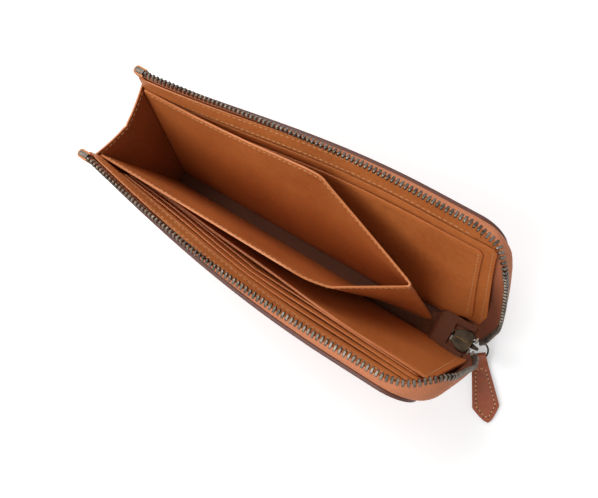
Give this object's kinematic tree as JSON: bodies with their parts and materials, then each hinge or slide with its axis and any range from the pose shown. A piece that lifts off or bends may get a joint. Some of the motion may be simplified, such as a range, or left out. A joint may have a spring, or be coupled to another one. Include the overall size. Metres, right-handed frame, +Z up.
{
  "type": "zip long wallet",
  "caption": "Long leather wallet standing open on its spine, with an L-shaped metal zip, a central coin pocket, bill compartments, card slots and a leather pull tab on a ring.",
  "frame": {"origin": "centre of the spine's flat underside", "axes": "+X along the spine to the slider's end, +Z up out of the opening, front cover on the -Y side"},
  "size_m": [0.2162, 0.0839, 0.0967],
  "materials": {
    "outer_leather": "smooth chestnut leather with dark painted edges",
    "inner_leather": "smooth tan leather with turned edges",
    "zip_tape": "woven herringbone tape",
    "zip_teeth": "antique dark nickel",
    "stop_metal": "satin nickel",
    "slider_metal": "dark bronze plating"
  },
  "bodies": {
    "root": {"outer_shell": "outer_leather", "spine_lining": "inner_leather", "left_gusset": "inner_leather", "coin_pocket": "inner_leather", "front_lining": "inner_leather", "front_facing": "inner_leather", "front_zip_tape": "zip_tape", "front_zip_teeth": "zip_teeth", "front_top_stop": "stop_metal", "back_lining": "inner_leather", "back_facing": "inner_leather", "back_zip_tape": "zip_tape", "back_zip_teeth": "zip_teeth", "back_top_stop": "stop_metal", "front_card_slot_1": "inner_leather", "front_card_slot_2": "inner_leather", "front_card_slot_3": "inner_leather", "front_card_slot_4": "inner_leather", "front_inner_panel": "inner_leather", "back_slip_pocket_1": "inner_leather", "back_slip_pocket_2": "inner_leather", "bottom_stop": "stop_metal"},
    "slider": {"slider_body": "slider_metal"},
    "ring": {"pull_ring": "slider_metal"},
    "tab": {"pull_tab": "outer_leather"}
  },
  "joints": [
    {"name": "slider_travel", "type": "slide", "parent": "root", "child": "slider", "axis": [-1, 0, 0], "range_m": [0, 0.0015]},
    {"name": "ring_swing", "type": "hinge", "parent": "slider", "child": "ring", "pos_m": [0.0956, 0.0008, 0.0065], "axis": [0, 1, 0], "range_deg": [-10, 25]},
    {"name": "tab_swing", "type": "hinge", "parent": "ring", "child": "tab", "pos_m": [0.1026, -0.00213, 0.0028], "axis": [-0.788, -0.6157, 0], "range_deg": [-30, 45]}
  ]
}
